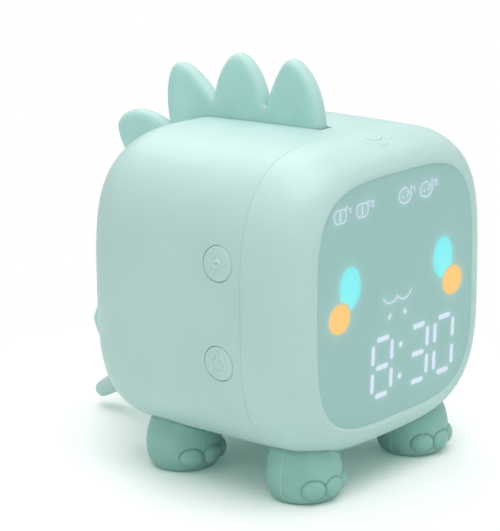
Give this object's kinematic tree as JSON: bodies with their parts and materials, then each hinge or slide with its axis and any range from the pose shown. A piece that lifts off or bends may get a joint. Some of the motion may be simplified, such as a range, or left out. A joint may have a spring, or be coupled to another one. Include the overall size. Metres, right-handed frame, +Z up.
{
  "type": "alarm clock",
  "caption": "Rounded-cube bedside alarm clock for a child, with a lit face panel, a translucent crest of spines over the back that ends in a tail, side push buttons and soft toed boots.",
  "frame": {"origin": "middle of the box round the whole object, on the plane its boots stand on", "axes": "-Y is the face, +X is to the right when looking at the face from the front, +Z is up"},
  "size_m": [0.1028, 0.1266, 0.1275],
  "materials": {
    "case_front": "satin",
    "case_rear": "satin",
    "panel": "matt tinted",
    "film": "matt",
    "dark_plastic": "matt",
    "board": "solder mask",
    "led": "clear lens",
    "steel": "plated",
    "ribbon": "flat cable",
    "foil": "thin foil",
    "wire_grey": "soft sleeve",
    "wire_red": "soft sleeve",
    "crest": "soft translucent",
    "strip": "flexible board",
    "white_plastic": "satin",
    "tail": "satin",
    "button_left": "satin",
    "button_right": "satin",
    "switch_can": "plated",
    "paper_cone": "fibre",
    "magnet": "nickel",
    "foam": "foam",
    "cell": "shrink sleeve",
    "boot": "soft matt"
  },
  "bodies": {
    "case": {"front_shell": "case_front", "rear_shell": "case_rear", "face_panel": "panel", "diffuser_film": "film", "display_mask": "dark_plastic", "display_board": "board", "display_leds": "led", "display_screws": "steel", "display_ribbon": "ribbon", "main_board": "board", "main_board_parts": "dark_plastic", "main_board_screws": "steel", "touch_foil": "foil", "touch_lead": "wire_grey", "crest": "crest", "crest_light_strip": "strip", "crest_leds": "led", "crest_lead": "wire_grey", "crest_clamp": "white_plastic", "crest_clamp_screws": "steel", "tail": "tail", "tail_screws": "steel", "left_switch_board": "board", "right_switch_board": "board", "left_switches": "switch_can", "right_switches": "switch_can", "switch_board_screws": "steel", "left_switch_lead": "wire_grey", "right_switch_lead": "wire_grey", "speaker_frame": "steel", "speaker_cone": "paper_cone", "speaker_magnet": "magnet", "speaker_gasket": "foam", "speaker_clamp": "white_plastic", "speaker_screws": "steel", "speaker_lead": "wire_grey", "battery_cell": "cell", "battery_cradle": "white_plastic", "battery_strap": "steel", "battery_screws": "steel", "battery_lead": "wire_red", "usb_socket": "switch_can", "usb_board": "board", "usb_screws": "steel", "usb_lead": "wire_red", "front_left_boot": "boot", "front_right_boot": "boot", "rear_left_boot": "boot", "rear_right_boot": "boot", "shell_screws": "steel"},
    "light_key": {"light_button": "button_left", "light_plunger": "dark_plastic"},
    "power_key": {"power_button": "button_left", "power_plunger": "dark_plastic"},
    "plus_key": {"plus_button": "button_right", "plus_plunger": "dark_plastic"},
    "minus_key": {"minus_button": "button_right", "minus_plunger": "dark_plastic"}
  },
  "joints": [
    {"name": "light_press", "type": "slide", "parent": "case", "child": "light_key", "axis": [1, 0, 0], "range_m": [0, 0.0005], "stiffness_N_per_m": 1500},
    {"name": "power_press", "type": "slide", "parent": "case", "child": "power_key", "axis": [1, 0, 0], "range_m": [0, 0.0005], "stiffness_N_per_m": 1500},
    {"name": "plus_press", "type": "slide", "parent": "case", "child": "plus_key", "axis": [-1, 0, 0], "range_m": [0, 0.0005], "stiffness_N_per_m": 1500},
    {"name": "minus_press", "type": "slide", "parent": "case", "child": "minus_key", "axis": [-1, 0, 0], "range_m": [0, 0.0005], "stiffness_N_per_m": 1500}
  ]
}
